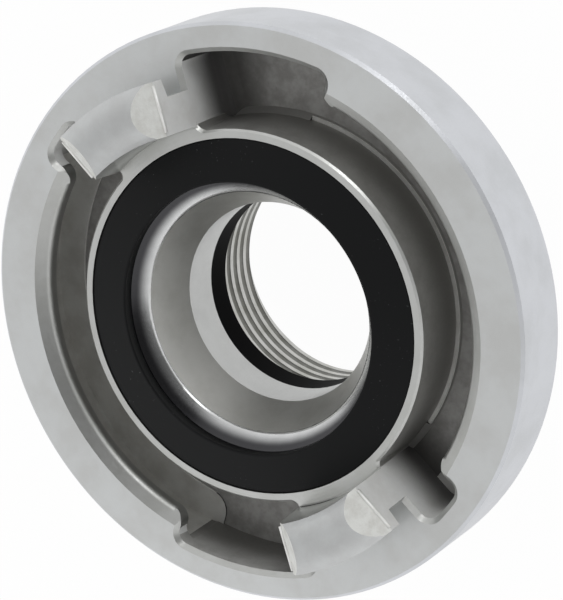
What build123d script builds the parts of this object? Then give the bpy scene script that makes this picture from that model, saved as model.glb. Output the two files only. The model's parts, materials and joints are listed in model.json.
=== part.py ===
from build123d import *
import math
import os

# Fixed hose coupling half with two hooked lugs and an inside thread
# Millimetres; the part stands on its rear hexagon at z = 0 and couples upwards
os.makedirs("parts", exist_ok=True)

# Distance between the lugs, from which all radii of the coupling side follow
LUG_SPACING = 66.0
LUG_R = LUG_SPACING / 2

# How far a cutting shape runs past what it cuts
CUT_MARGIN = 1.0

# Heights from the rear end to the face
HEX_TOP_Z = 14.5
COLLAR_HEIGHT = 2.8
UNDERSIDE_RISE = 5.5
RIM_HEIGHT = 15.2
COLLAR_TOP_Z = HEX_TOP_Z + COLLAR_HEIGHT
REAR_Z = COLLAR_TOP_Z + UNDERSIDE_RISE
FACE_Z = REAR_Z + RIM_HEIGHT

# Angles of one half of the face, from the middle of the lug on +X; the other half is the same
LUG_SPAN = 31.4
SLOT_SPAN = 11.15
LIP_SPAN = 101.5
LUG_END = LUG_SPAN / 2
LIP_START = LUG_END + SLOT_SPAN
LIP_END = LIP_START + LIP_SPAN
POCKET_END = 180.0 - LUG_END

# Track under the rim's lip
TRACK_DEPTH = 12.35
FLOOR_Z = FACE_Z - TRACK_DEPTH
LIP_GAP = 6.8
LIP_R = LUG_R + LIP_GAP
LIP_THICKNESS = 3.3
LIP_REAR_Z = FACE_Z - LIP_THICKNESS
LIP_CHAMFER_WIDTH = 2.3
LIP_CHAMFER_DROP = 1.5
LIP_CORNER = 2.5
LEDGE_STEP = 0.35
LEDGE_Z = FLOOR_Z + LEDGE_STEP
LEDGE_R = LIP_R - 0.2
LEDGE_END = LIP_END + 3.9
LEDGE_CORNER = 3.6
UNDERCUT_DEPTH = 5.1
UNDERCUT_R = LIP_R + UNDERCUT_DEPTH
UNDERCUT_OVERRUN = 5.0
UNDERCUT_CORNER = 3.0
SLOT_R = UNDERCUT_R + 0.1
SLOT_CORNER = 2.2
SLOT_ROOT_CORNER = 1.3
POCKET_R = UNDERCUT_R - 0.3
POCKET_CORNER = 2.0
POCKET_ROOT_CORNER = 1.9
POCKET_WALL_ROUND = 3.4
OPENING_CHAMFER = 0.8

# Rim
RIM_WALL = 4.55
RIM_TAPER = 0.25
RIM_FRONT_R = UNDERCUT_R + RIM_WALL
RIM_REAR_R = RIM_FRONT_R + RIM_TAPER
RIM_FRONT_CHAMFER = 0.55
RIM_REAR_CHAMFER = 2.0
UNDERSIDE_R = RIM_REAR_R - 5.5

# Wrench hexagon and the collar behind the rim
HEX_ACROSS = 54.0
HEX_CHAMFER_R = HEX_ACROSS / 2 + 0.6
HEX_CHAMFER_RISE = 2.1
COLLAR_R = HEX_ACROSS / math.sqrt(3.0) + 0.3

# Sleeve round the seal
SLEEVE_GAP = 1.1
SLEEVE_R = LUG_R - SLEEVE_GAP
SLEEVE_FLARE = 0.5
SLEEVE_FOOT_R = SLEEVE_R + SLEEVE_FLARE
SLEEVE_DROP = 0.3
SLEEVE_Z = FACE_Z - SLEEVE_DROP
SLEEVE_CHAMFER = 0.35
SLEEVE_FOOT_CHAMFER = 1.0
ROOT_MILL_START = LIP_START - 1.0
ROOT_MILL_END = LIP_END + 9.1
ROOT_MILL_DEPTH = 1.5
ROOT_MILL_WIDTH = 3.0

# Hooked lugs
NECK_THICKNESS = 6.0
NECK_R = LUG_R + NECK_THICKNESS
HOOK_REACH = 3.0
HOOK_R = NECK_R + HOOK_REACH
HOOK_NECK_Z = FACE_Z + 4.8
HOOK_UNDER_Z = HOOK_NECK_Z + 0.5
HOOK_SHOULDER_Z = FACE_Z + 8.5
LUG_DRAFT = 0.8
LUG_BEVEL_Z = FACE_Z + 7.6
CREST_Z = FACE_Z + 11.0
DOME_START = (LUG_R + 0.6, CREST_Z - 1.6)
DOME_TOP = (LUG_R + 4.1, CREST_Z)
DOME_FOOT_Z = CREST_Z - 2.3
LUG_RELIEF_R = LUG_R - 0.4
LUG_RELIEF_Z = SLEEVE_Z - 0.3
LUG_ROOT_Z = FACE_Z - 2.0

# Thread, drawn at its major diameter, and the relief that holds the gasket
THREAD_R = 20.955
THREAD_CHAMFER = 1.2
RELIEF_DEPTH = 0.445
RELIEF_R = THREAD_R + RELIEF_DEPTH
GASKET_THICKNESS = 5.2
GASKET_REAR_GAP = 0.1
SHOULDER_Z = HEX_TOP_Z + GASKET_REAR_GAP + GASKET_THICKNESS

# Seal seat and waterway
SLEEVE_WALL = 1.45
SEAT_R = SLEEVE_R - SLEEVE_WALL
SEAT_DEPTH = 6.5
SEAT_Z = FACE_Z - SEAT_DEPTH
SEAT_WIDTH = 6.45
NOSE_R = SEAT_R - SEAT_WIDTH
NOSE_DROP = 1.5
NOSE_Z = FACE_Z - NOSE_DROP
NOSE_LAND = 0.6
NOSE_EDGE_R = NOSE_R - NOSE_LAND
THROAT_R = NOSE_EDGE_R - 2.5
THROAT_Z = NOSE_Z - 1.87
THROAT_ROUND = 1.4
WATERWAY_R = RELIEF_R - 4.0
CONE_END_Z = SHOULDER_Z + 7.4

# Rubber rings
SEAL_CLEARANCE = 0.1
SEAL_R = SEAT_R - SEAL_CLEARANCE
SEAL_FACE_Z = FACE_Z - 0.5
SEAL_CHAMFER = 0.4
SEAL_CREST_R = NOSE_R + 1.0
SEAL_CREST_WIDTH = 0.6
SEAL_CREST_Z = FACE_Z + 0.8
SEAL_LIP_R = NOSE_EDGE_R - 0.2
SEAL_LIP_GAP = 0.25
GASKET_CLEARANCE = 0.2


def polar(radius, angle):
    """Point at a radius and an angle in degrees."""
    turn = math.radians(angle)
    return (radius * math.cos(turn), radius * math.sin(turn))


def radial_planes(angle):
    """Two upright planes through the axis: x runs outwards, y runs up."""
    planes = []
    for turn in (angle, angle + 180.0):
        along = (*polar(1.0, turn), 0)
        across = (*polar(1.0, turn - 90.0), 0)
        planes.append(Plane(origin=(0, 0, 0), x_dir=along, z_dir=across))
    return planes


def end_planes(angle, radius):
    """Two upright planes square to a radius: x runs with the angle, y runs up."""
    planes = []
    for turn in (angle, angle + 180.0):
        origin = (*polar(radius, turn), 0)
        along = (*polar(1.0, turn + 90.0), 0)
        outwards = (*polar(1.0, turn), 0)
        planes.append(Plane(origin=origin, x_dir=along, z_dir=outwards))
    return planes


def ring_sector(inner, outer, start, end):
    """Flat face between two radii and two angles."""
    with BuildSketch() as face:
        with BuildLine():
            inside = CenterArc((0, 0), inner, start, end - start)
            outside = CenterArc((0, 0), outer, start, end - start)
            Line(inside @ 0, outside @ 0)
            Line(inside @ 1, outside @ 1)
        make_face()
    return face.sketch


def corners_at(sketch, radius):
    """Corners of a sketch that lie at a radius."""
    return sketch.vertices().filter_by(
        lambda v: abs(math.hypot(v.X, v.Y) - radius) < 0.01
    )


# Slot, track and pocket seen from the front, as one opening in the rim
with BuildSketch() as opening:
    add(ring_sector(SLEEVE_R, LIP_R, LUG_END, POCKET_END))
    add(ring_sector(SLEEVE_R, SLOT_R, LUG_END, LIP_START))
    add(ring_sector(SLEEVE_R, POCKET_R, LIP_END, POCKET_END))
    fillet(corners_at(opening, SLOT_R), SLOT_CORNER)
    fillet(corners_at(opening, POCKET_R), POCKET_CORNER)
    fillet(corners_at(opening, LIP_R), LIP_CORNER)
    fillet(corners_at(opening, SLEEVE_R).sort_by(Axis.X)[-1], SLOT_ROOT_CORNER)
    fillet(corners_at(opening, SLEEVE_R).sort_by(Axis.X)[0], POCKET_ROOT_CORNER)

# Milled ledge outside the cast floor, rounded where it runs out in the pocket
with BuildSketch() as ledge:
    add(ring_sector(LEDGE_R, SLOT_R + CUT_MARGIN / 2, LUG_END - CUT_MARGIN, LEDGE_END))
    fillet(corners_at(ledge, LEDGE_R).sort_by(Axis.X)[0], LEDGE_CORNER)

# Undercut, wider than the opening, rounded where it runs out in the pocket
with BuildSketch() as undercut:
    add(
        ring_sector(
            LIP_R - CUT_MARGIN,
            UNDERCUT_R,
            LIP_START - UNDERCUT_OVERRUN,
            LIP_END + UNDERCUT_OVERRUN,
        )
    )
    fillet(corners_at(undercut, UNDERCUT_R).sort_by(Axis.X)[0], UNDERCUT_CORNER)


with BuildPart() as coupling_body:
    # Hexagon, its rear corners turned off
    with BuildSketch():
        RegularPolygon(HEX_ACROSS / 2, 6, major_radius=False)
    extrude(amount=HEX_TOP_Z)
    with BuildSketch(Plane.XZ):
        with BuildLine():
            Polyline(
                (0, 0),
                (HEX_CHAMFER_R, 0),
                (COLLAR_R, HEX_CHAMFER_RISE),
                (COLLAR_R, HEX_TOP_Z),
                (0, HEX_TOP_Z),
                close=True,
            )
        make_face()
    revolve(axis=Axis.Z, mode=Mode.INTERSECT)

    # Collar and rim
    with BuildSketch(Plane.XZ):
        with BuildLine():
            Polyline(
                (0, HEX_TOP_Z),
                (COLLAR_R, HEX_TOP_Z),
                (COLLAR_R, COLLAR_TOP_Z),
                (UNDERSIDE_R, REAR_Z),
                (RIM_REAR_R - RIM_REAR_CHAMFER, REAR_Z),
                (RIM_REAR_R, REAR_Z + RIM_REAR_CHAMFER),
                (RIM_FRONT_R, FACE_Z - RIM_FRONT_CHAMFER),
                (RIM_FRONT_R - RIM_FRONT_CHAMFER, FACE_Z),
                (0, FACE_Z),
                close=True,
            )
        make_face()
    revolve(axis=Axis.Z)

    # Openings down to the cast floor, their front edges chamfered
    with BuildSketch(Plane.XY.offset(FLOOR_Z)):
        with PolarLocations(0, 2):
            add(opening.sketch)
    extrude(amount=TRACK_DEPTH, mode=Mode.SUBTRACT)
    front = coupling_body.faces().sort_by(Axis.Z)[-1]
    chamfer(front.inner_wires().edges(), OPENING_CHAMFER)

    # Sleeve with its flared wall and wider foot
    with BuildSketch(Plane.XZ):
        with BuildLine():
            Polyline(
                (SEAT_R - CUT_MARGIN, SLEEVE_Z),
                (SLEEVE_R - SLEEVE_CHAMFER, SLEEVE_Z),
                (SLEEVE_R, SLEEVE_Z - SLEEVE_CHAMFER),
                (SLEEVE_FOOT_R, FLOOR_Z + SLEEVE_FOOT_CHAMFER),
                (SLEEVE_FOOT_R + SLEEVE_FOOT_CHAMFER, FLOOR_Z),
                (SLEEVE_FOOT_R + SLEEVE_FOOT_CHAMFER, FLOOR_Z - CUT_MARGIN),
                (SEAT_R - CUT_MARGIN, FLOOR_Z - CUT_MARGIN),
                close=True,
            )
        make_face()
    revolve(axis=Axis.Z)

    # Foot of the sleeve milled flat along the track
    with BuildSketch(*radial_planes(ROOT_MILL_START)):
        with BuildLine():
            Polyline(
                (SLEEVE_FOOT_R, LEDGE_Z),
                (SLEEVE_FOOT_R + ROOT_MILL_WIDTH, LEDGE_Z),
                (SLEEVE_FOOT_R + ROOT_MILL_WIDTH, LEDGE_Z + ROOT_MILL_DEPTH),
                (SLEEVE_FOOT_R, LEDGE_Z + ROOT_MILL_DEPTH),
                close=True,
            )
        make_face()
    revolve(axis=Axis.Z, revolution_arc=ROOT_MILL_END - ROOT_MILL_START, mode=Mode.SUBTRACT)

    # Milled ledge and the undercut behind the lip
    with BuildSketch(Plane.XY.offset(FLOOR_Z)):
        with PolarLocations(0, 2):
            add(ledge.sketch)
    extrude(amount=LEDGE_STEP)
    with BuildSketch(Plane.XY.offset(LEDGE_Z)):
        with PolarLocations(0, 2):
            add(undercut.sketch)
    extrude(amount=LIP_REAR_Z - LEDGE_Z, mode=Mode.SUBTRACT)

    # Round between the floor and the pocket's end wall under the lug
    with BuildSketch(*end_planes(-LUG_END, SLEEVE_R)):
        with BuildLine():
            curve = CenterArc(
                (-POCKET_WALL_ROUND, FLOOR_Z + POCKET_WALL_ROUND), POCKET_WALL_ROUND, -90, 90
            )
            Polyline(
                curve @ 1,
                (CUT_MARGIN / 2, FLOOR_Z + POCKET_WALL_ROUND),
                (CUT_MARGIN / 2, FLOOR_Z - CUT_MARGIN),
            )
            Polyline(
                curve @ 0,
                (-POCKET_WALL_ROUND, FLOOR_Z - CUT_MARGIN),
                (CUT_MARGIN / 2, FLOOR_Z - CUT_MARGIN),
            )
        make_face()
    extrude(amount=POCKET_R + CUT_MARGIN - SLEEVE_R)

    # Chamfer on the lip
    with BuildSketch(*radial_planes(LIP_START - UNDERCUT_OVERRUN)):
        with BuildLine():
            Polyline(
                (LIP_R - 3 * CUT_MARGIN, FACE_Z + CUT_MARGIN),
                (LIP_R + LIP_CHAMFER_WIDTH, FACE_Z + CUT_MARGIN),
                (LIP_R + LIP_CHAMFER_WIDTH, FACE_Z),
                (LIP_R, FACE_Z - LIP_CHAMFER_DROP),
                (LIP_R, LIP_REAR_Z + CUT_MARGIN),
                (LIP_R - 3 * CUT_MARGIN, LIP_REAR_Z + CUT_MARGIN),
                close=True,
            )
        make_face()
    revolve(
        axis=Axis.Z,
        revolution_arc=LIP_SPAN + 6 * UNDERCUT_OVERRUN,
        mode=Mode.SUBTRACT,
    )

    # Hooked lugs
    with BuildSketch(*radial_planes(-LUG_END)):
        with BuildLine():
            dome = ThreePointArc(DOME_START, DOME_TOP, (HOOK_R, HOOK_SHOULDER_Z))
            Polyline(
                dome @ 1,
                (HOOK_R, HOOK_UNDER_Z),
                (NECK_R, HOOK_NECK_Z),
                (NECK_R, LUG_ROOT_Z),
                (LUG_R, LUG_ROOT_Z),
                (LUG_R, DOME_FOOT_Z),
                dome @ 0,
            )
        make_face()
    revolve(axis=Axis.Z, revolution_arc=LUG_SPAN)

    # Ends of the lugs, drafted above the face and bevelled at the top
    for angle, side in ((-LUG_END, 1.0), (LUG_END, -1.0)):
        with BuildSketch(*end_planes(angle, LUG_R - 2 * CUT_MARGIN)):
            with BuildLine():
                top = CREST_Z + CUT_MARGIN
                Polyline(
                    (0, FACE_Z),
                    (side * LUG_DRAFT, LUG_BEVEL_Z),
                    (side * (LUG_DRAFT + top - LUG_BEVEL_Z), top),
                    (-side * CUT_MARGIN, top),
                    (-side * CUT_MARGIN, FACE_Z),
                    close=True,
                )
            make_face()
        extrude(amount=HOOK_R - LUG_R + 4 * CUT_MARGIN, mode=Mode.SUBTRACT)

    # Facing cut, seal seat, nose, waterway and thread
    with BuildSketch(Plane.XZ) as bore:
        with BuildLine():
            Polyline(
                (0, CREST_Z + CUT_MARGIN),
                (LUG_R, CREST_Z + CUT_MARGIN),
                (LUG_R, LUG_RELIEF_Z),
                (LUG_RELIEF_R, LUG_RELIEF_Z),
                (LUG_RELIEF_R, SLEEVE_Z),
                (SEAT_R, SLEEVE_Z),
                (SEAT_R, SEAT_Z),
                (NOSE_R, SEAT_Z),
                (NOSE_R, NOSE_Z),
                (NOSE_EDGE_R, NOSE_Z),
                (THROAT_R, THROAT_Z),
                (WATERWAY_R, CONE_END_Z),
                (WATERWAY_R, SHOULDER_Z),
                (RELIEF_R, SHOULDER_Z),
                (RELIEF_R, HEX_TOP_Z),
                (THREAD_R, HEX_TOP_Z),
                (THREAD_R, THREAD_CHAMFER),
                (THREAD_R + THREAD_CHAMFER, 0),
                (0, 0),
                close=True,
            )
        make_face()
        fillet(corners_at(bore, math.hypot(THROAT_R, THROAT_Z)), THROAT_ROUND)
    revolve(axis=Axis.Z, mode=Mode.SUBTRACT)

with BuildPart() as face_seal:
    # Body in the seat, front face rising to the lip that covers the nose
    with BuildSketch(Plane.XZ):
        with BuildLine():
            Polyline(
                (NOSE_R + SEAL_CLEARANCE, SEAT_Z),
                (SEAL_R, SEAT_Z),
                (SEAL_R, SEAL_FACE_Z - SEAL_CHAMFER),
                (SEAL_R - SEAL_CHAMFER, SEAL_FACE_Z),
                (SEAL_CREST_R, SEAL_CREST_Z),
                (SEAL_CREST_R - SEAL_CREST_WIDTH, SEAL_CREST_Z),
                (SEAL_LIP_R, FACE_Z),
                (SEAL_LIP_R, NOSE_Z + SEAL_LIP_GAP),
                (NOSE_R + SEAL_CLEARANCE, NOSE_Z + SEAL_LIP_GAP),
                close=True,
            )
        make_face()
    revolve(axis=Axis.Z)

with BuildPart() as thread_gasket:
    # Flat ring between the shoulder and the thread
    with BuildSketch(Plane.XY.offset(SHOULDER_Z)):
        Circle(RELIEF_R - GASKET_CLEARANCE)
        Circle(WATERWAY_R, mode=Mode.SUBTRACT)
    extrude(amount=-GASKET_THICKNESS)

coupling_body.part.label = "coupling_body"
face_seal.part.label = "face_seal"
thread_gasket.part.label = "thread_gasket"
export_step(coupling_body.part, "parts/coupling_body.step")
export_step(face_seal.part, "parts/face_seal.step")
export_step(thread_gasket.part, "parts/thread_gasket.step")
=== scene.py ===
"""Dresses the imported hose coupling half: finishes, thread, cutter burrs, camera and light."""

from __future__ import annotations

import json
import logging
import math
from dataclasses import dataclass
from enum import Enum
from typing import Any

import bmesh
import bpy
from mathutils import Euler, Matrix, Vector

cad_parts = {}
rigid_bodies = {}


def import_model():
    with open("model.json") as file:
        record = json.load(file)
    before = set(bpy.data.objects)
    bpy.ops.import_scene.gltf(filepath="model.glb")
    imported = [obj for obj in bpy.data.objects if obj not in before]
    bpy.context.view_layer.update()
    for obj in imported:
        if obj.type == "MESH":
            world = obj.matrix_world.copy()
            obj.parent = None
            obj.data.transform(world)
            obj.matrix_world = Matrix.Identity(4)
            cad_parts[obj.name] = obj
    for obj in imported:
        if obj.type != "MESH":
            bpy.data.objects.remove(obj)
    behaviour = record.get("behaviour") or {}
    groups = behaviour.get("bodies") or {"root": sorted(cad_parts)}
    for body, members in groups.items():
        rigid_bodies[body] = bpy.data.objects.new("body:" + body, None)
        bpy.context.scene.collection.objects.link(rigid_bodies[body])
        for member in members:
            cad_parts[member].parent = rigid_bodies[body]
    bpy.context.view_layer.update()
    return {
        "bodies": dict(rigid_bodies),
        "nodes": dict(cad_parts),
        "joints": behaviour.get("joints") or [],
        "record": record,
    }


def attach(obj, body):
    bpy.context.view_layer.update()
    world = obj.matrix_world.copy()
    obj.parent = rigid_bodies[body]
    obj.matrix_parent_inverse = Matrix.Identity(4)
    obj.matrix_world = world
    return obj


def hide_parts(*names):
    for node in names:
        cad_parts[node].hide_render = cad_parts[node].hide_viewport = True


LOG = logging.getLogger("hose_coupling")

MM = 0.001
BODY = "root"
ORIGIN = (0.0, 0.0, 0.0)
AXIS = (0.0, 0.0, 1.0)
WHITE = (1.0, 1.0, 1.0, 1.0)
# Vertices nearer than this are one, in millimetres
MERGE_MM = 0.002


def linear(code: str) -> tuple[float, float, float, float]:
    """Turns an sRGB hex colour into the linear values that a shader takes.

    Args:
        code: Colour such as "#C8C9CB".

    Returns:
        Red, green, blue and alpha.
    """
    values = []
    for start in (1, 3, 5):
        share = int(code[start : start + 2], 16) / 255.0
        values.append(share / 12.92 if share <= 0.04045 else ((share + 0.055) / 1.055) ** 2.4)
    return values[0], values[1], values[2], 1.0


class NodeTree:
    """A material's or world's nodes, started from nothing."""

    def __init__(self, owner: bpy.types.Material | bpy.types.World) -> None:
        """Empties the owner's tree and takes it over."""
        owner.use_nodes = True
        self.tree = owner.node_tree
        self.tree.nodes.clear()

    def add(
        self, kind: str, settings: dict[str, Any] | None = None, **inputs: Any
    ) -> bpy.types.Node:
        """Adds one node with its settings and links.

        Args:
            kind: Node type, without the ShaderNode in front.
            settings: Values of the node's own properties.
            inputs: Socket name, with _ for a space or a leading i for a number, to a value or an
                output socket.

        Returns:
            The new node.
        """
        node = self.tree.nodes.new("ShaderNode" + kind)
        for name, value in (settings or {}).items():
            setattr(node, name, value)
        for name, value in inputs.items():
            numbered = name[0] == "i" and name[1:].isdigit()
            socket = node.inputs[int(name[1:]) if numbered else name.replace("_", " ")]
            if isinstance(value, bpy.types.NodeSocket):
                self.tree.links.new(value, socket)
            else:
                socket.default_value = value
        return node


class Zone(Enum):
    """Surfaces of the casting that were made in different ways."""

    BLASTED = "blasted_aluminium"
    WALL = "blasted_rim_aluminium"
    LUG = "blasted_lug_aluminium"
    TURNED = "turned_aluminium"
    LIP = "turned_lip_aluminium"
    MILLED = "milled_aluminium"
    FLOOR = "dirty_cast_aluminium_with_painted_shade"
    CAST = "as_cast_aluminium"
    POCKET_END = "as_cast_aluminium_blasted_at_the_top"
    SLEEVE = "cast_sleeve_aluminium"
    FILED = "filed_aluminium"
    RIDGE = "filed_aluminium_with_painted_highlight"
    NOSE = "polished_aluminium"
    CONE = "bored_cone_aluminium"
    BORED = "bored_aluminium"
    THREAD = "cut_thread_aluminium"


@dataclass(frozen=True)
class AluminiumFinish:
    """Finish of one zone of the casting.

    The metal keeps its default IOR; what differs is how much the surface scatters, how dark the
    oxide, the dirt and painted shade make it, and how coarse its grain is. Under a skin of oxide
    less than all of the light is reflected as by metal. A finish with a deep shade colour turns to
    it between two heights, as painted shade: towards the floor of the openings, or towards the
    seal, where it is also a painted dark reflection. A finish with a corner shade colour turns to
    it towards the ends of the lugs, as painted shade in the corners under them, at angles that are
    counted from the middle between the lugs.
    """

    zone: Zone
    colour: str
    stain: str
    roughness: float
    grain_mm: float
    grain_height_mm: float
    stain_mm: float
    rings_mm: float = 0.0
    metal: float = 1.0
    deep_shade_colour: str = ""
    deep_low_mm: float = 28.5
    deep_high_mm: float = 36.5
    corner_shade_colour: str = ""
    corner_unshaded_deg: float = 58.0
    corner_shaded_deg: float = 73.0
    stain_from: float = 0.35
    stain_to: float = 0.68
    roughness_spread: float = 0.05
    ring_height_mm: float = 0.01
    # The rings are drawn about twice as far apart as the tool's feed, so that they show
    ring_spread: float = 6.0

    def material(self) -> bpy.types.Material:
        """Builds the finish.

        Returns:
            The material, on Object coordinates.
        """
        made = bpy.data.materials.new(self.zone.value)
        tree = NodeTree(made)
        place = tree.add("TexCoord").outputs["Object"]
        grain = tree.add(
            "TexNoise", {"noise_dimensions": "3D"},
            Vector=place, Scale=1.0 / (self.grain_mm * MM), Detail=2.0, Roughness=0.6,
        ).outputs["Fac"]
        rough = tree.add(
            "MapRange", {}, Value=grain, From_Min=0.3, From_Max=0.7,
            To_Min=self.roughness - self.roughness_spread,
            To_Max=self.roughness + self.roughness_spread,
        ).outputs["Result"]
        normal = tree.add(
            "Bump", {}, Strength=0.6, Distance=self.grain_height_mm * MM, Height=grain
        ).outputs["Normal"]
        if self.rings_mm > 0.0:
            rings = tree.add(
                "TexWave",
                {"wave_type": "RINGS", "rings_direction": "Z", "wave_profile": "SIN"},
                Vector=place, Scale=1.0 / (self.rings_mm * MM * self.ring_spread),
                Distortion=0.6, Detail=2.0,
            ).outputs["Fac"]
            normal = tree.add(
                "Bump", {},
                Strength=0.25, Distance=self.ring_height_mm * MM, Height=rings, Normal=normal,
            ).outputs["Normal"]
        shader = tree.add(
            "BsdfPrincipled", {}, Base_Color=self.tint(tree, place),
            Metallic=self.metal, Roughness=rough, Normal=normal,
        )
        tree.add("OutputMaterial", {}, Surface=shader.outputs[0])
        return made

    def tint(self, tree: NodeTree, place: bpy.types.NodeSocket) -> bpy.types.NodeSocket:
        """Stains the colour, and paints shade into it towards the depth and the corners.

        Args:
            tree: Tree that gets the nodes.
            place: Object coordinates.

        Returns:
            Output with the colour.
        """
        blotch = tree.add(
            "TexNoise", {"noise_dimensions": "3D"},
            Vector=place, Scale=1.0 / (self.stain_mm * MM), Detail=4.0, Roughness=0.6,
        ).outputs["Fac"]
        amount = tree.add(
            "MapRange", {"interpolation_type": "SMOOTHSTEP"},
            Value=blotch, From_Min=self.stain_from, From_Max=self.stain_to, To_Min=0.0, To_Max=1.0,
        ).outputs["Result"]
        colour = tree.add(
            "Mix", {"data_type": "RGBA"}, i0=amount, i6=linear(self.colour), i7=linear(self.stain)
        ).outputs[2]
        # Painted shade between two heights; at the nose it also stands in for a dark reflection
        if self.deep_shade_colour:
            height = tree.add("SeparateXYZ", {}, Vector=place).outputs["Z"]
            depth = tree.add(
                "MapRange", {"interpolation_type": "SMOOTHSTEP"}, Value=height,
                From_Min=self.deep_low_mm * MM, From_Max=self.deep_high_mm * MM,
                To_Min=1.0, To_Max=0.0,
            ).outputs["Result"]
            colour = tree.add(
                "Mix", {"data_type": "RGBA"}, i0=depth, i6=colour, i7=linear(self.deep_shade_colour)
            ).outputs[2]
        # Painted shade in the corners towards the ends of the lugs
        if self.corner_shade_colour:
            colour = tree.add(
                "Mix", {"data_type": "RGBA"}, i0=self.corner(tree, place),
                i6=colour, i7=linear(self.corner_shade_colour),
            ).outputs[2]
        return colour

    def corner(self, tree: NodeTree, place: bpy.types.NodeSocket) -> bpy.types.NodeSocket:
        """Finds how near a place is to the end of a lug, seen from the axis.

        Args:
            tree: Tree that gets the nodes.
            place: Object coordinates.

        Returns:
            Output that rises from 0 away from the corner to 1 in the corner's painted shade.
        """
        spot = tree.add("SeparateXYZ", {}, Vector=place).outputs
        angle = tree.add("Math", {"operation": "ARCTAN2"}, i0=spot["Y"], i1=spot["X"])
        # Both halves of the part are alike, so the angle starts again after half a turn
        half = tree.add("Math", {"operation": "FLOORED_MODULO"}, i0=angle.outputs[0], i1=math.pi)
        offset = tree.add("Math", {"operation": "SUBTRACT"}, i0=half.outputs[0], i1=math.pi / 2.0)
        from_middle = tree.add("Math", {"operation": "ABSOLUTE"}, i0=offset.outputs[0])
        return tree.add(
            "MapRange", {"interpolation_type": "SMOOTHSTEP"}, Value=from_middle.outputs[0],
            From_Min=math.radians(self.corner_unshaded_deg),
            From_Max=math.radians(self.corner_shaded_deg), To_Min=0.0, To_Max=1.0,
        ).outputs["Result"]


FINISHES = (
    # Shot-blasted casting: an even, pale, matt skin
    AluminiumFinish(
        Zone.BLASTED, "#D7D9D9", "#CFD0CF",
        roughness=0.46, grain_mm=0.25, grain_height_mm=0.02, stain_mm=9.0,
    ),
    # Outside of the rim, the collar and the hexagon: blasted too, a little smoother from hands
    AluminiumFinish(
        Zone.WALL, "#D3D5D9", "#CBCDD0",
        roughness=0.44, grain_mm=0.25, grain_height_mm=0.02, stain_mm=9.0,
    ),
    # Tops of the lugs: blasted, painted a little darker for the shade that falls on them
    AluminiumFinish(
        Zone.LUG, "#C7C9C9", "#BFC0C0",
        roughness=0.46, grain_mm=0.25, grain_height_mm=0.02, stain_mm=6.0,
    ),
    # Turned faces: smoother, with fine rings
    AluminiumFinish(
        Zone.TURNED, "#CACBC9", "#C3C4C1",
        roughness=0.36, grain_mm=0.30, grain_height_mm=0.01, stain_mm=6.0, rings_mm=0.35,
    ),
    # Chamfer and edge of the lip, turned and rubbed dull by the other half
    AluminiumFinish(
        Zone.LIP, "#C6C7C5", "#BDBEBB",
        roughness=0.42, grain_mm=0.30, grain_height_mm=0.01, stain_mm=6.0, rings_mm=0.35,
    ),
    # Undercut and ledge, milled bright
    AluminiumFinish(
        Zone.MILLED, "#DBDBD8", "#CDCCC8",
        roughness=0.55, grain_mm=0.40, grain_height_mm=0.01, stain_mm=5.0, metal=0.8,
    ),
    # Opening floors as cast: dark with release agent and painted shade, darkest in the corners
    AluminiumFinish(
        Zone.FLOOR, "#ABAAA8", "#959491",
        roughness=0.60, grain_mm=0.80, grain_height_mm=0.05, stain_mm=3.0, metal=0.8,
        corner_shade_colour="#5E5D5B",
    ),
    # Walls of the pocket as cast, with painted shade towards the floor and the lug ends
    AluminiumFinish(
        Zone.CAST, "#C2C2C0", "#B2B2AF",
        roughness=0.60, grain_mm=0.80, grain_height_mm=0.05, stain_mm=3.0, metal=0.4,
        deep_shade_colour="#747370", deep_low_mm=29.0, deep_high_mm=38.0, corner_shade_colour="#4C4B4A",
    ),
    # End walls below the lugs: blasted, with painted shade that darkens them towards the floor
    AluminiumFinish(
        Zone.POCKET_END, "#E4E5E4", "#DADAD8",
        roughness=0.65, grain_mm=0.60, grain_height_mm=0.04, stain_mm=5.0, metal=0.25,
        deep_shade_colour="#4C4B4A", deep_low_mm=27.0, deep_high_mm=36.5,
    ),
    # Outside of the sleeve: cast, half cleaned by the cutter, painted shade towards the floor
    AluminiumFinish(
        Zone.SLEEVE, "#BEBEBB", "#B0AFAC",
        roughness=0.50, grain_mm=0.50, grain_height_mm=0.03, stain_mm=4.0, metal=0.8,
        deep_shade_colour="#A09F9C",
    ),
    # Filed bevels on the lugs: bright facets, roughened by the file
    AluminiumFinish(
        Zone.FILED, "#E6E7E4", "#D9D9D5",
        roughness=0.60, grain_mm=0.45, grain_height_mm=0.06, stain_mm=2.0, metal=0.7,
    ),
    # File ridges and cutters' burrs: bare metal, painted near white as a highlight
    AluminiumFinish(
        Zone.RIDGE, "#F7F7F5", "#EDEDEA",
        roughness=0.50, grain_mm=0.45, grain_height_mm=0.03, stain_mm=1.5, metal=0.6,
    ),
    # Nose inside the seal, smoothed by the tool; painted shade and dark reflection near the seal
    AluminiumFinish(
        Zone.NOSE, "#D8D9D9", "#CDCECE",
        roughness=0.22, grain_mm=0.35, grain_height_mm=0.0015, stain_mm=6.0, rings_mm=0.35,
        deep_shade_colour="#4A4A4C", deep_low_mm=36.0, deep_high_mm=34.7,
    ),
    # Cone behind the nose, bored
    AluminiumFinish(
        Zone.CONE, "#DDDDDA", "#D0D0CC",
        roughness=0.42, grain_mm=0.30, grain_height_mm=0.015, stain_mm=8.0,
    ),
    # Straight waterway, bored with a finer tool
    AluminiumFinish(
        Zone.BORED, "#C2C3C2", "#BABBBA",
        roughness=0.38, grain_mm=0.30, grain_height_mm=0.01, stain_mm=8.0,
    ),
    # Cut thread, a little stained
    AluminiumFinish(
        Zone.THREAD, "#C4C4C1", "#B2B2AD",
        roughness=0.36, grain_mm=0.30, grain_height_mm=0.01, stain_mm=4.0,
    ),
)


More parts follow.
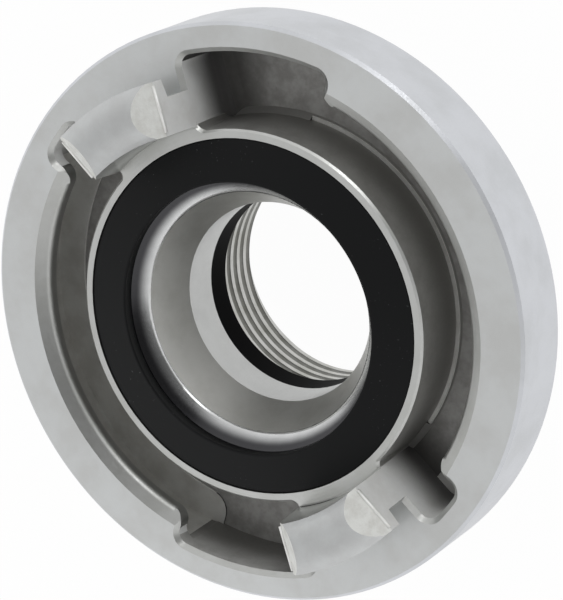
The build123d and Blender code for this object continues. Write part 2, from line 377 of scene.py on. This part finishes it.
@dataclass(frozen=True)
class RubberFinish:
    """Black rubber: matt, with dust specks that lie in patches."""

    name: str
    colour: str
    dust: str
    roughness: float
    speck_mm: float
    sheen: float
    patch_mm: float = 7.0
    speck_height_mm: float = 0.01
    most_dust: float = 0.8

    def material(self) -> bpy.types.Material:
        """Builds the finish.

        Returns:
            The material, on Object coordinates.
        """
        made = bpy.data.materials.new(self.name)
        tree = NodeTree(made)
        place = tree.add("TexCoord").outputs["Object"]
        specks = tree.add(
            "TexNoise", {"noise_dimensions": "3D"},
            Vector=place, Scale=1.0 / (self.speck_mm * MM), Detail=4.0, Roughness=0.7,
        ).outputs["Fac"]
        patches = tree.add(
            "TexNoise", {"noise_dimensions": "3D"},
            Vector=place, Scale=1.0 / (self.patch_mm * MM), Detail=2.0, Roughness=0.5,
        ).outputs["Fac"]
        bright = tree.add(
            "MapRange", {}, Value=specks, From_Min=0.66, From_Max=0.74, To_Min=0.0, To_Max=1.0
        ).outputs["Result"]
        where = tree.add(
            "MapRange", {}, Value=patches,
            From_Min=0.48, From_Max=0.62, To_Min=0.0, To_Max=self.most_dust,
        ).outputs["Result"]
        amount = tree.add(
            "Math", {"operation": "MULTIPLY", "use_clamp": True}, i0=bright, i1=where
        ).outputs[0]
        colour = tree.add(
            "Mix", {"data_type": "RGBA"}, i0=amount, i6=linear(self.colour), i7=linear(self.dust)
        ).outputs[2]
        normal = tree.add(
            "Bump", {}, Strength=0.4, Distance=self.speck_height_mm * MM, Height=specks
        ).outputs["Normal"]
        shader = tree.add(
            "BsdfPrincipled", {}, Base_Color=colour, Roughness=self.roughness, Normal=normal,
            IOR=1.5, Specular_IOR_Level=self.sheen,
        )
        tree.add("OutputMaterial", {}, Surface=shader.outputs[0])
        return made


# Moulded rubber of the seal, handled and dusty, with a faint sheen
SEAL_RUBBER = RubberFinish(
    "moulded_seal_rubber", "#0F1011", "#8A8C8E", roughness=0.38, speck_mm=0.45, sheen=0.15
)
# Punched rubber of the gasket, dull and nearly free of dust
GASKET_RUBBER = RubberFinish(
    "punched_gasket_rubber", "#060607", "#303030", roughness=0.60, speck_mm=0.5, sheen=0.03
)


def new_piece(
    name: str, mesh: bmesh.types.BMesh, *materials: bpy.types.Material
) -> bpy.types.Object:
    """Turns a finished bmesh into an object that rides on the part.

    Args:
        name: Name of the piece.
        mesh: Its mesh, in metres and in place; it is freed here.
        materials: Its materials, in the order of their slots.

    Returns:
        The new object.
    """
    data = bpy.data.meshes.new(name)
    mesh.to_mesh(data)
    mesh.free()
    for material in materials:
        data.materials.append(material)
    piece = bpy.data.objects.new(name, data)
    bpy.context.scene.collection.objects.link(piece)
    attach(piece, BODY)
    return piece


def outline(
    mesh: bmesh.types.BMesh, profile: list[tuple[float, float]]
) -> tuple[list[bmesh.types.BMVert], list[bmesh.types.BMEdge]]:
    """Starts a mesh with a closed profile in the plane of the part's X and Z axes.

    Args:
        mesh: Mesh that gets the profile.
        profile: Corners as radius and height in millimetres, in order.

    Returns:
        The profile's vertices and edges.
    """
    corners = [mesh.verts.new((radius * MM, 0.0, height * MM)) for radius, height in profile]
    edges = [mesh.edges.new((one, corners[i - 1])) for i, one in enumerate(corners)]
    return corners, edges


def lathe(
    profile: list[tuple[float, float]], steps: int, start: float = 0.0, sweep: float = 360.0
) -> bmesh.types.BMesh:
    """Spins a closed profile round the part's axis.

    Args:
        profile: Corners as radius and height in millimetres, in order.
        steps: Steps of the spin.
        start: Angle of its start in degrees.
        sweep: Angle that it covers in degrees.

    Returns:
        A closed mesh with outward faces.
    """
    mesh = bmesh.new()
    corners, edges = outline(mesh, profile)
    turn = Matrix.Rotation(math.radians(start), 3, "Z")
    bmesh.ops.rotate(mesh, verts=corners, cent=ORIGIN, matrix=turn)
    full = sweep >= 360.0
    bmesh.ops.spin(
        mesh, geom=corners + edges, cent=ORIGIN, axis=AXIS,
        angle=math.radians(sweep), steps=steps, use_merge=full,
    )
    if not full:
        open_edges = [edge for edge in mesh.edges if edge.is_boundary]
        bmesh.ops.holes_fill(mesh, edges=open_edges, sides=len(profile))
    bmesh.ops.remove_doubles(mesh, verts=mesh.verts[:], dist=MERGE_MM * MM)
    bmesh.ops.recalc_face_normals(mesh, faces=mesh.faces[:])
    return mesh


def edges_sharper_than(mesh: bmesh.types.BMesh, degrees: float) -> list[bmesh.types.BMEdge]:
    """Lists the edges whose two faces meet at more than an angle.

    Args:
        mesh: The mesh.
        degrees: The angle.

    Returns:
        Its sharper edges.
    """
    return [
        edge for edge in mesh.edges
        if len(edge.link_faces) == 2 and edge.calc_face_angle() > math.radians(degrees)
    ]


def harden_edges(mesh: bmesh.types.BMesh, degrees: float) -> None:
    """Marks the edges where smooth shading has to break.

    Args:
        mesh: The finished mesh.
        degrees: Angle from which an edge is sharp.
    """
    for edge in mesh.edges:
        if len(edge.link_faces) == 2:
            edge.smooth = edge.calc_face_angle() < math.radians(degrees)


def round_rubber(
    mesh: bmesh.types.BMesh, offset_mm: float, sharp_deg: float = 35.0, segments: int = 3
) -> None:
    """Rounds the edges of a rubber ring, as its mould or punch leaves them.

    Args:
        mesh: The ring.
        offset_mm: Size of the round.
        sharp_deg: Angle from which an edge is rounded.
        segments: Strips of the round.
    """
    bmesh.ops.bevel(
        mesh, geom=edges_sharper_than(mesh, sharp_deg), affect="EDGES", offset=offset_mm * MM,
        segments=segments, profile=0.5, material=-1, clamp_overlap=True,
    )
    for face in mesh.faces:
        face.smooth = True


def weight_normals(piece: bpy.types.Object, weight: int, keep_sharp: bool = False) -> None:
    """Lets the large faces set the shading, so that they look flat beside their rounds.

    Args:
        piece: Piece that gets the modifier.
        weight: How much the size of a face counts, with 50 for not at all.
        keep_sharp: Whether edges that are marked sharp stay so.
    """
    shading = piece.modifiers.new("edge_shading", "WEIGHTED_NORMAL")
    shading.keep_sharp = keep_sharp
    shading.weight = weight


@dataclass
class CouplingBody:
    """The aluminium casting, dressed zone by zone on a copy of its solid.

    Sizes are in millimetres and angles in degrees. The shares tell which way a face looks, from
    0 for across to 1 for straight upwards, outwards or along the track.
    """

    face_z: float = 38.0
    rim_r: float = 48.0
    rear_z: float = 22.9
    lip_r: float = 39.8
    lip_rear_z: float = 34.7
    lip_edge_z: float = 36.5
    ledge_z: float = 26.0
    sleeve_r: float = 33.5
    lug_r: float = 33.0
    seat_r: float = 30.6
    nose_r: float = 24.15
    throat_z: float = 34.3
    waterway_r: float = 17.45
    gasket_top_z: float = 19.9
    slot_end: float = 26.85
    pocket_start: float = 128.35
    lug_bevel_rise: float = 7.0
    opening_chamfer: float = 0.85
    sleeve_top_depth: float = 1.0
    floor_band: float = 0.4
    lip_band: float = 0.3
    near: float = 0.1
    same_height: float = 0.05
    same_edge: float = 0.03
    level: float = 0.99
    straight: float = 0.9
    steep: float = 0.8
    sloped: float = 0.6
    half: float = 0.5
    slight: float = 0.3
    bevel_outwards: float = 0.35
    least: float = 0.1
    flat_angle: float = 0.5
    sharp_angle: float = 22.0
    lip_round: float = 0.8
    lip_round_segments: int = 4
    node: str = "coupling_body"

    def zone_of(self, face: bmesh.types.BMFace) -> Zone:
        """Finds how a face was made from its place.

        Args:
            face: Face of the casting.

        Returns:
            Its zone.
        """
        place = face.calc_center_median() / MM
        normal = face.normal
        outwards = (normal.x * place.x + normal.y * place.y) / max(place.xy.length, 0.001)
        # A long bent face has its middle nearer to the axis than its corners
        radius = sum(vert.co.xy.length for vert in face.verts) / len(face.verts) / MM
        if radius < self.nose_r:
            return self.bore_zone(radius, place.z)
        if radius < self.seat_r and place.z < self.face_z:
            return Zone.TURNED
        if place.z < self.rear_z or radius > self.rim_r:
            return Zone.BLASTED if normal.z > self.straight else Zone.WALL
        if place.z > self.face_z + self.same_height:
            return self.lug_zone(radius, place.z, normal.z, outwards)
        on_sleeve = radius < self.lug_r + self.near and normal.z > self.sloped
        if on_sleeve and place.z > self.face_z - self.sleeve_top_depth:
            return Zone.TURNED
        return self.opening_zone(place, radius, normal.z, outwards)

    def bore_zone(self, radius: float, height: float) -> Zone:
        """Zone of a face inside the nose, in the waterway or in the thread.

        Args:
            radius: Its distance from the axis.
            height: Its height.

        Returns:
            Its zone.
        """
        if height < self.gasket_top_z:
            return Zone.THREAD
        if radius < self.waterway_r:
            return Zone.BORED
        return Zone.CONE if height < self.throat_z else Zone.NOSE

    def lug_zone(self, radius: float, height: float, upwards: float, outwards: float) -> Zone:
        """Zone of a face of the lugs: filed bevels, turned inside, blasted elsewhere.

        Args:
            radius: Its distance from the axis.
            height: Its height.
            upwards: How far the face looks up.
            outwards: How far it looks away from the axis.

        Returns:
            Its zone.
        """
        on_bevel = self.sloped < upwards < self.steep and abs(outwards) < self.bevel_outwards
        if on_bevel and height > self.face_z + self.lug_bevel_rise:
            return Zone.FILED
        if radius < self.lug_r + self.near and outwards < -self.straight:
            return Zone.TURNED
        if upwards < self.slight and abs(outwards) < self.half:
            return Zone.POCKET_END
        return Zone.LUG

    def opening_zone(
        self, place: Vector, radius: float, upwards: float, outwards: float
    ) -> Zone:
        """Zone of a face of the rim's front or of the slot, track and pocket.

        Args:
            place: Middle of the face in millimetres.
            radius: Its distance from the axis.
            upwards: How far the face looks up.
            outwards: How far it looks away from the axis.

        Returns:
            Its zone.
        """
        angle = math.degrees(math.atan2(place.y, place.x)) % 180.0
        on_track = self.slot_end < angle < self.pocket_start
        if place.z > self.face_z - self.same_height:
            return Zone.BLASTED
        on_lip = place.z > self.lip_rear_z + self.near and radius > self.lip_r - self.lip_band
        if on_track and on_lip:
            return Zone.LIP
        if place.z > self.face_z - self.opening_chamfer and upwards > self.half:
            return Zone.LIP
        if radius < self.sleeve_r and outwards > self.slight:
            return Zone.SLEEVE
        if place.z < self.ledge_z + self.floor_band and upwards > self.steep:
            on_ledge = abs(place.z - self.ledge_z) < self.same_height and upwards > self.level
            return Zone.MILLED if on_ledge else Zone.FLOOR
        if on_track:
            return Zone.MILLED
        along = math.sqrt(max(0.0, 1.0 - upwards**2 - outwards**2))
        is_end = angle < self.slot_end or along > self.steep or upwards > self.least
        return Zone.POCKET_END if is_end else Zone.CAST

    def round_lip(self, mesh: bmesh.types.BMesh) -> None:
        """Rounds the inner edge of the lip below its chamfer.

        Args:
            mesh: The copied casting.
        """
        chosen = []
        for edge in mesh.edges:
            ends = [vert.co / MM for vert in edge.verts]
            if all(
                abs(end.z - self.lip_edge_z) < self.same_edge
                and abs(end.xy.length - self.lip_r) < self.same_edge
                for end in ends
            ):
                chosen.append(edge)
        LOG.info("lip edges rounded: %d", len(chosen))
        # Clamping would leave the round too small to see, because the edges are short
        bmesh.ops.bevel(
            mesh, geom=chosen, affect="EDGES", offset=self.lip_round * MM, offset_type="OFFSET",
            segments=self.lip_round_segments, profile=0.5, material=-1, clamp_overlap=False,
        )

    def build(
        self, frame: dict[str, Any], materials: dict[Zone, bpy.types.Material]
    ) -> bpy.types.Object:
        """Copies the solid, joins its triangles and gives each face its zone's finish.

        Args:
            materials: Finish of each zone.

        Returns:
            The dressed casting.
        """
        mesh = bmesh.new()
        mesh.from_mesh(frame["nodes"][self.node].data)
        bmesh.ops.remove_doubles(mesh, verts=mesh.verts[:], dist=MERGE_MM * MM)
        bmesh.ops.dissolve_limit(
            mesh, angle_limit=math.radians(self.flat_angle), use_dissolve_boundaries=False,
            verts=mesh.verts[:], edges=mesh.edges[:],
        )
        mesh.normal_update()
        zones = list(Zone)
        for face in mesh.faces:
            face.smooth = True
            face.material_index = zones.index(self.zone_of(face))
        self.round_lip(mesh)
        mesh.normal_update()
        harden_edges(mesh, self.sharp_angle)
        piece = new_piece("casting", mesh, *(materials[zone] for zone in zones))
        weight_normals(piece, 50, keep_sharp=True)
        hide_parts(self.node)
        return piece


@dataclass
class LugRidges:
    """Ridges that the file left between the lugs' bevels and end walls, with a painted highlight.
    """

    inner_r: float = 33.6
    outer_r: float = 41.4
    ridge_z: float = 45.6
    end_angle: float = 14.55
    radius: float = 0.30
    sides: int = 12

    def build(self, material: bpy.types.Material) -> list[bpy.types.Object]:
        """Lays one thin rod along each ridge, half sunk into the lug.

        Args:
            material: Finish of the ridges.

        Returns:
            The four ridges.
        """
        pieces = []
        for number in range(4):
            turn = math.radians(180.0 * (number // 2) + self.end_angle * (1 - 2 * (number % 2)))
            mesh = bmesh.new()
            bmesh.ops.create_cone(
                mesh, cap_ends=True, segments=self.sides, radius1=self.radius * MM,
                radius2=self.radius * MM, depth=(self.outer_r - self.inner_r) * MM,
            )
            middle = (self.inner_r + self.outer_r) / 2 * MM
            place = (
                Matrix.Rotation(turn, 4, "Z")
                @ Matrix.Translation((middle, 0.0, self.ridge_z * MM))
                @ Matrix.Rotation(math.radians(90.0), 4, "Y")
            )
            bmesh.ops.transform(mesh, matrix=place, verts=mesh.verts[:])
            for face in mesh.faces:
                face.smooth = len(face.verts) == 4
            piece = new_piece(f"lug_ridge_{number + 1}", mesh, material)
            pieces.append(piece)
        return pieces


@dataclass
class InletThread:
    """Inside pipe thread, G 1 1/4: ridges from the major diameter inwards, crests rubbed flat."""

    major_r: float = 20.955
    pitch: float = 2.309
    depth: float = 1.479
    crest: float = 1.0
    root_share: float = 0.92
    sunk: float = 0.02
    start_z: float = 1.6
    turns: float = 5.0
    steps: int = 96
    fade_share: float = 0.3
    root_band: float = 0.1
    sharp_angle: float = 30.0

    def build(self, material: bpy.types.Material) -> bpy.types.Object:
        """Spins one ridge upwards along the helix and runs both its ends out.

        Args:
            material: Finish of the cut thread.

        Returns:
            The ridge.
        """
        half = self.pitch * self.root_share / 2
        top_r = self.major_r - self.depth
        mesh = bmesh.new()
        corners, edges = outline(mesh, [
            (self.major_r + self.sunk, self.start_z - half),
            (top_r, self.start_z - self.crest / 2),
            (top_r, self.start_z + self.crest / 2),
            (self.major_r + self.sunk, self.start_z + half),
        ])
        bmesh.ops.spin(
            mesh, geom=corners + edges, cent=ORIGIN, axis=AXIS,
            dvec=(0.0, 0.0, self.pitch * MM / self.steps), angle=math.tau * self.turns,
            steps=round(self.turns * self.steps), use_merge=False,
        )
        self.run_out(mesh)
        ends = [edge for edge in mesh.edges if edge.is_boundary]
        bmesh.ops.holes_fill(mesh, edges=ends, sides=len(corners))
        bmesh.ops.recalc_face_normals(mesh, faces=mesh.faces[:])
        for face in mesh.faces:
            face.smooth = True
        harden_edges(mesh, self.sharp_angle)
        piece = new_piece("inlet_thread_ridge", mesh, material)
        return piece

    def run_out(self, mesh: bmesh.types.BMesh) -> None:
        """Lowers the crest to nothing at both ends of the ridge.

        Args:
            mesh: The spun ridge.
        """
        low, high = self.start_z * MM, (self.start_z + self.pitch * self.turns) * MM
        fade = self.pitch * self.fade_share * MM
        for vert in mesh.verts:
            radius = math.hypot(vert.co.x, vert.co.y)
            if radius > (self.major_r - self.root_band) * MM:
                continue
            angle = math.atan2(vert.co.y, vert.co.x) % math.tau
            lift = angle / math.tau * self.pitch * MM
            on_first_turn = vert.co.z < low + self.pitch * MM
            along = min(
                max(vert.co.z - low, lift if on_first_turn else 1.0),
                high - vert.co.z,
            )
            share = min(max(along / fade, 0.0), 1.0)
            wanted = (self.major_r - self.depth * share) * MM
            vert.co.x *= wanted / radius
            vert.co.y *= wanted / radius


@dataclass(frozen=True)
class Burr:
    """Course of one burr: its name, its radius in millimetres and its angles in degrees."""

    name: str
    radius: float
    start: float
    sweep: float


@dataclass
class CutterLines:
    """Fine burrs that the milling cutters left along the track, in both halves; painted highlight.
    """

    burrs: tuple[Burr, ...] = (
        Burr("ledge_burr", 39.61, 16.5, 111.5),
        Burr("foot_burr", 33.05, 26.2, 111.2),
    )
    plane_z: float = 26.0
    width: float = 0.16
    height: float = 0.10
    sunk: float = 0.05
    steps: int = 120

    def build(self, material: bpy.types.Material) -> list[bpy.types.Object]:
        """Spins the burrs along the ledge and along the foot of the sleeve.

        Args:
            material: Finish of the burrs.

        Returns:
            The burrs.
        """
        pieces = []
        for burr in self.burrs:
            profile = [
                (burr.radius - self.width / 2, self.plane_z - self.sunk),
                (burr.radius + self.width / 2, self.plane_z - self.sunk),
                (burr.radius, self.plane_z + self.height),
            ]
            for half, offset in (("a", 0.0), ("b", 180.0)):
                mesh = lathe(profile, self.steps, burr.start + offset, burr.sweep)
                piece = new_piece(f"{burr.name}_{half}", mesh, material)
                pieces.append(piece)
        return pieces


@dataclass
class FaceSeal:
    """The rubber face seal: a ring with a sloping face that rises to a lip at its inner edge."""

    inner_r: float = 24.1
    outer_r: float = 30.35
    seat_z: float = 31.5
    face_z: float = 37.5
    crest_z: float = 38.8
    crest_width: float = 0.5
    crest_drop: float = 0.04
    lip_r: float = 23.24
    lip_under_z: float = 36.75
    edge_round: float = 0.22
    steps: int = 192

    def build(self, material: bpy.types.Material) -> bpy.types.Object:
        """Spins the section and rounds its edges.

        Args:
            material: Finish of the rubber.

        Returns:
            The seal.
        """
        profile = [
            (self.inner_r, self.seat_z),
            (self.outer_r, self.seat_z),
            (self.outer_r, self.face_z),
            (self.lip_r + self.crest_width, self.crest_z - self.crest_drop),
            (self.lip_r, self.crest_z),
            (self.lip_r, self.lip_under_z),
            (self.inner_r, self.lip_under_z),
        ]
        mesh = lathe(profile, self.steps)
        round_rubber(mesh, self.edge_round)
        piece = new_piece("face_seal_ring", mesh, material)
        weight_normals(piece, 100)
        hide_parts("face_seal")
        return piece


@dataclass
class ThreadGasket:
    """The flat rubber gasket behind the thread."""

    inner_r: float = 17.4
    outer_r: float = 21.2
    low_z: float = 14.6
    high_z: float = 19.8
    edge_round: float = 0.25
    steps: int = 160

    def build(self, material: bpy.types.Material) -> bpy.types.Object:
        """Spins the section and rounds its edges.

        Args:
            material: Finish of the rubber.

        Returns:
            The gasket.
        """
        profile = [
            (self.inner_r, self.low_z),
            (self.outer_r, self.low_z),
            (self.outer_r, self.high_z),
            (self.inner_r, self.high_z),
        ]
        mesh = lathe(profile, self.steps)
        round_rubber(mesh, self.edge_round)
        piece = new_piece("thread_gasket_ring", mesh, material)
        weight_normals(piece, 100)
        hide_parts("thread_gasket")
        return piece


@dataclass(frozen=True)
class Lamp:
    """A soft square lamp that looks at the part; its place and size are in metres."""

    name: str
    place: tuple[float, float, float]
    size: float
    watts: float
    target: tuple[float, float, float] = (0.0, 0.0, 0.03)

    def build(self) -> None:
        """Hangs the lamp where it lights the part and no camera sees it."""
        data = bpy.data.lights.new(self.name, "AREA")
        data.shape = "SQUARE"
        data.size = self.size
        data.energy = self.watts
        lamp = bpy.data.objects.new(self.name, data)
        lamp.location = self.place
        look = Vector(self.target) - Vector(self.place)
        lamp.rotation_euler = look.to_track_quat("-Z", "Y").to_euler()
        lamp.visible_camera = False
        bpy.context.scene.collection.objects.link(lamp)


@dataclass
class Studio:
    """Floor, light and the camera at the photograph's angle.

    The camera's place is in millimetres. The room is a light tent: the part mirrors a tent that
    gets dimmer between two heights and has one dark opening, while the camera sees plain white.
    """

    camera_place: tuple[float, float, float] = (1.257, -220.843, 366.8)
    camera_turn: tuple[float, float, float] = (-17.153, 28.562, -122.544)
    lens_mm: float = 144.0
    sensor_mm: float = 36.0
    clip_m: tuple[float, float] = (0.01, 20.0)
    floor_size: float = 6.0
    floor_colour: str = "#F4F4F2"
    floor_share: float = 0.97
    world_light: float = 0.8
    tent_top: float = 0.74
    tent_heights: tuple[float, float] = (0.2, 0.75)
    tent_opening: tuple[float, float, float] = (0.0, -0.52, 0.854)
    opening_angles: tuple[float, float] = (40.0, 26.0)
    opening_light: float = 0.2
    # Both lamps are small, so that the flat faces don't mirror them as white patches
    lamps: tuple[Lamp, ...] = (
        Lamp("key_lamp", (0.53, -0.73, 0.5), 0.25, 0.9),
        Lamp("near_lamp", (-0.058, 0.125, 0.155), 0.05, 0.0027),
    )

    def camera(self) -> None:
        """Places the camera, turned as in the photograph."""
        data = bpy.data.cameras.new("camera")
        data.lens = self.lens_mm
        data.sensor_fit = "VERTICAL"
        data.sensor_height = self.sensor_mm
        data.clip_start, data.clip_end = self.clip_m
        camera = bpy.data.objects.new("camera", data)
        camera.location = Vector(self.camera_place) * MM
        camera.rotation_euler = Euler([math.radians(a) for a in self.camera_turn], "XYZ")
        bpy.context.scene.collection.objects.link(camera)
        bpy.context.scene.camera = camera

    def floor(self) -> None:
        """Lays the pale floor, which shows white to the camera and keeps the shadow."""
        mesh = bmesh.new()
        bmesh.ops.create_grid(mesh, x_segments=1, y_segments=1, size=self.floor_size)
        data = bpy.data.meshes.new("floor")
        mesh.to_mesh(data)
        mesh.free()
        made = bpy.data.materials.new("studio_paper")
        tree = NodeTree(made)
        ray = tree.add("LightPath").outputs
        seen = tree.add(
            "Math", {"operation": "MAXIMUM"}, i0=ray["Is Camera Ray"], i1=ray["Is Glossy Ray"]
        ).outputs[0]
        seen = tree.add(
            "Math", {"operation": "MAXIMUM"}, i0=seen, i1=ray["Is Transmission Ray"]
        ).outputs[0]
        share = tree.add(
            "Math", {"operation": "MULTIPLY"}, i0=seen, i1=self.floor_share
        ).outputs[0]
        paper = tree.add("BsdfDiffuse", {}, Color=linear(self.floor_colour))
        white = tree.add("Emission", {}, Color=WHITE, Strength=1.0)
        mixed = tree.add("MixShader", {}, i0=share, i1=paper.outputs[0], i2=white.outputs[0])
        tree.add("OutputMaterial", {}, Surface=mixed.outputs[0])
        data.materials.append(made)
        floor = bpy.data.objects.new("floor", data)
        bpy.context.scene.collection.objects.link(floor)

    def world(self) -> None:
        """Fills the room as a light tent: white all round, dimmer overhead and at its opening."""
        world = bpy.data.worlds.new("studio")
        bpy.context.scene.world = world
        tree = NodeTree(world)
        ray = tree.add("LightPath").outputs
        seen = tree.add(
            "Math", {"operation": "MAXIMUM"},
            i0=ray["Is Camera Ray"], i1=ray["Is Transmission Ray"],
        ).outputs[0]
        look = tree.add("TexCoord").outputs["Generated"]
        height = tree.add("SeparateXYZ", {}, Vector=look).outputs["Z"]
        tent = tree.add(
            "MapRange", {"interpolation_type": "SMOOTHSTEP"}, Value=height,
            From_Min=self.tent_heights[0], From_Max=self.tent_heights[1],
            To_Min=1.0, To_Max=self.tent_top,
        ).outputs["Result"]
        towards = tree.add(
            "VectorMath", {"operation": "DOT_PRODUCT"}, i0=look, i1=self.tent_opening
        ).outputs["Value"]
        outside, inside = (math.cos(math.radians(angle)) for angle in self.opening_angles)
        opening = tree.add(
            "MapRange", {"interpolation_type": "SMOOTHSTEP"}, Value=towards,
            From_Min=outside, From_Max=inside, To_Min=1.0, To_Max=self.opening_light,
        ).outputs["Result"]
        gloss = tree.add("Math", {"operation": "MULTIPLY"}, i0=tent, i1=opening).outputs[0]
        light = tree.add(
            "Mix", {"data_type": "FLOAT"}, i0=ray["Is Glossy Ray"], i2=self.world_light, i3=gloss
        ).outputs[0]
        strength = tree.add(
            "Mix", {"data_type": "FLOAT"}, i0=seen, i2=light, i3=1.0
        ).outputs[0]
        air = tree.add("Background", {}, Color=WHITE, Strength=strength)
        tree.add("OutputWorld", {}, Surface=air.outputs[0])

    def build(self) -> None:
        """Sets up the whole studio."""
        bpy.context.scene.view_settings.view_transform = "Standard"
        self.camera()
        self.floor()
        self.world()
        for lamp in self.lamps:
            lamp.build()


def main() -> None:
    """Loads the frame, builds every piece on it and the studio round it."""
    logging.basicConfig(level=logging.INFO, format="%(name)s %(message)s")
    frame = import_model()
    finishes = {finish.zone: finish.material() for finish in FINISHES}
    pieces = [
        CouplingBody().build(frame, finishes),
        *LugRidges().build(finishes[Zone.RIDGE]),
        InletThread().build(finishes[Zone.THREAD]),
        *CutterLines().build(finishes[Zone.RIDGE]),
        FaceSeal().build(SEAL_RUBBER.material()),
        ThreadGasket().build(GASKET_RUBBER.material()),
    ]
    for piece in pieces:
        LOG.info("%s: %d faces", piece.name, len(piece.data.polygons))
    Studio().build()


if __name__ == "__main__":
    main()
